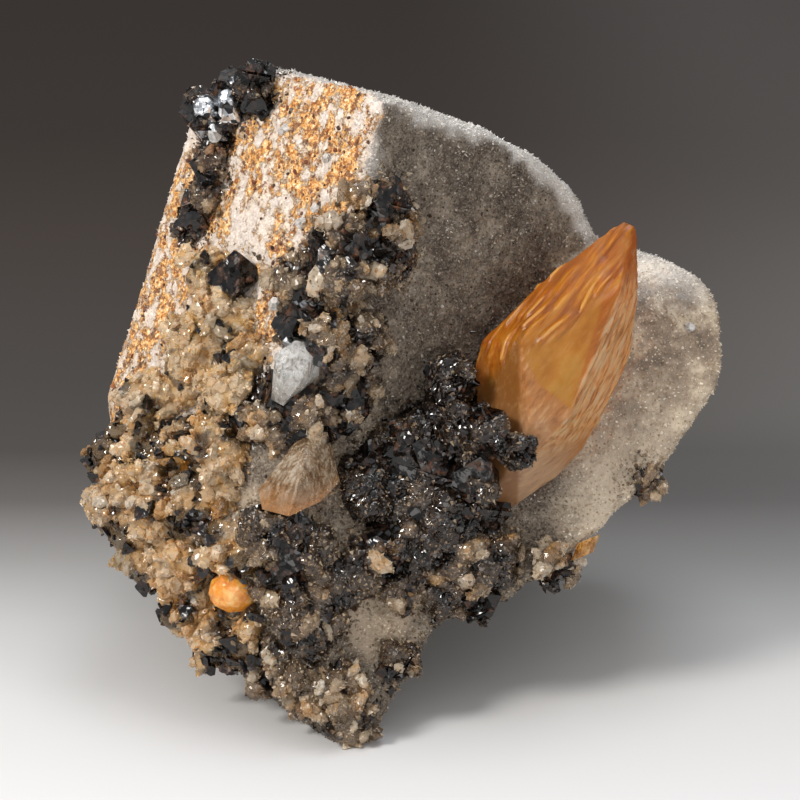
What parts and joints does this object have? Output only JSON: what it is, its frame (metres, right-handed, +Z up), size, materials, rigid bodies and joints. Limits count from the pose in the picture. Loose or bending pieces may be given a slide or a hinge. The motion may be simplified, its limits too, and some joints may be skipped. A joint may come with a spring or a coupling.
{
  "type": "calcite on sphalerite",
  "caption": "Cleaved rock block with drusy faces, clusters of black sphalerite, honey calcite crust and a large golden calcite crystal rising from a valley.",
  "frame": {"origin": "centre of the whole object's box, at the level of the foot it rests on", "axes": "+Z up as it rests; +X to the right and +Y away from a viewer who faces the golden crystal"},
  "size_m": [0.1626, 0.1372, 0.1576],
  "materials": {
    "rock": "grey rock lined with fine sparkling quartz, rust-stained on one face",
    "sphalerite": "black crystals with a resinous to metallic gloss",
    "calcite_honey": "honey-coloured druse of small translucent crystals",
    "calcite_golden": "golden orange, translucent, etched faces",
    "calcite_white": "white to clear, vitreous",
    "calcite_smoky": "smoky brown, translucent, vitreous"
  },
  "bodies": {
    "root": {"matrix_rock": "rock", "calcite_golden": "calcite_golden", "calcite_white": "calcite_white", "calcite_smoky": "calcite_smoky", "calcite_orange": "calcite_golden", "calcite_amber_left": "calcite_golden", "calcite_amber_right": "calcite_golden", "calcite_druse_upper": "calcite_honey", "calcite_druse_left": "calcite_honey", "calcite_druse_lower": "calcite_honey", "sphalerite_pyramid": "sphalerite", "sphalerite_crown": "sphalerite", "sphalerite_left": "sphalerite", "sphalerite_ridge": "sphalerite", "sphalerite_middle": "sphalerite", "sphalerite_front": "sphalerite", "sphalerite_valley": "sphalerite", "sphalerite_under": "sphalerite", "sphalerite_foot": "sphalerite", "sphalerite_drop": "sphalerite", "sphalerite_lobe": "sphalerite", "sphalerite_rim": "sphalerite"}
  },
  "joints": []
}
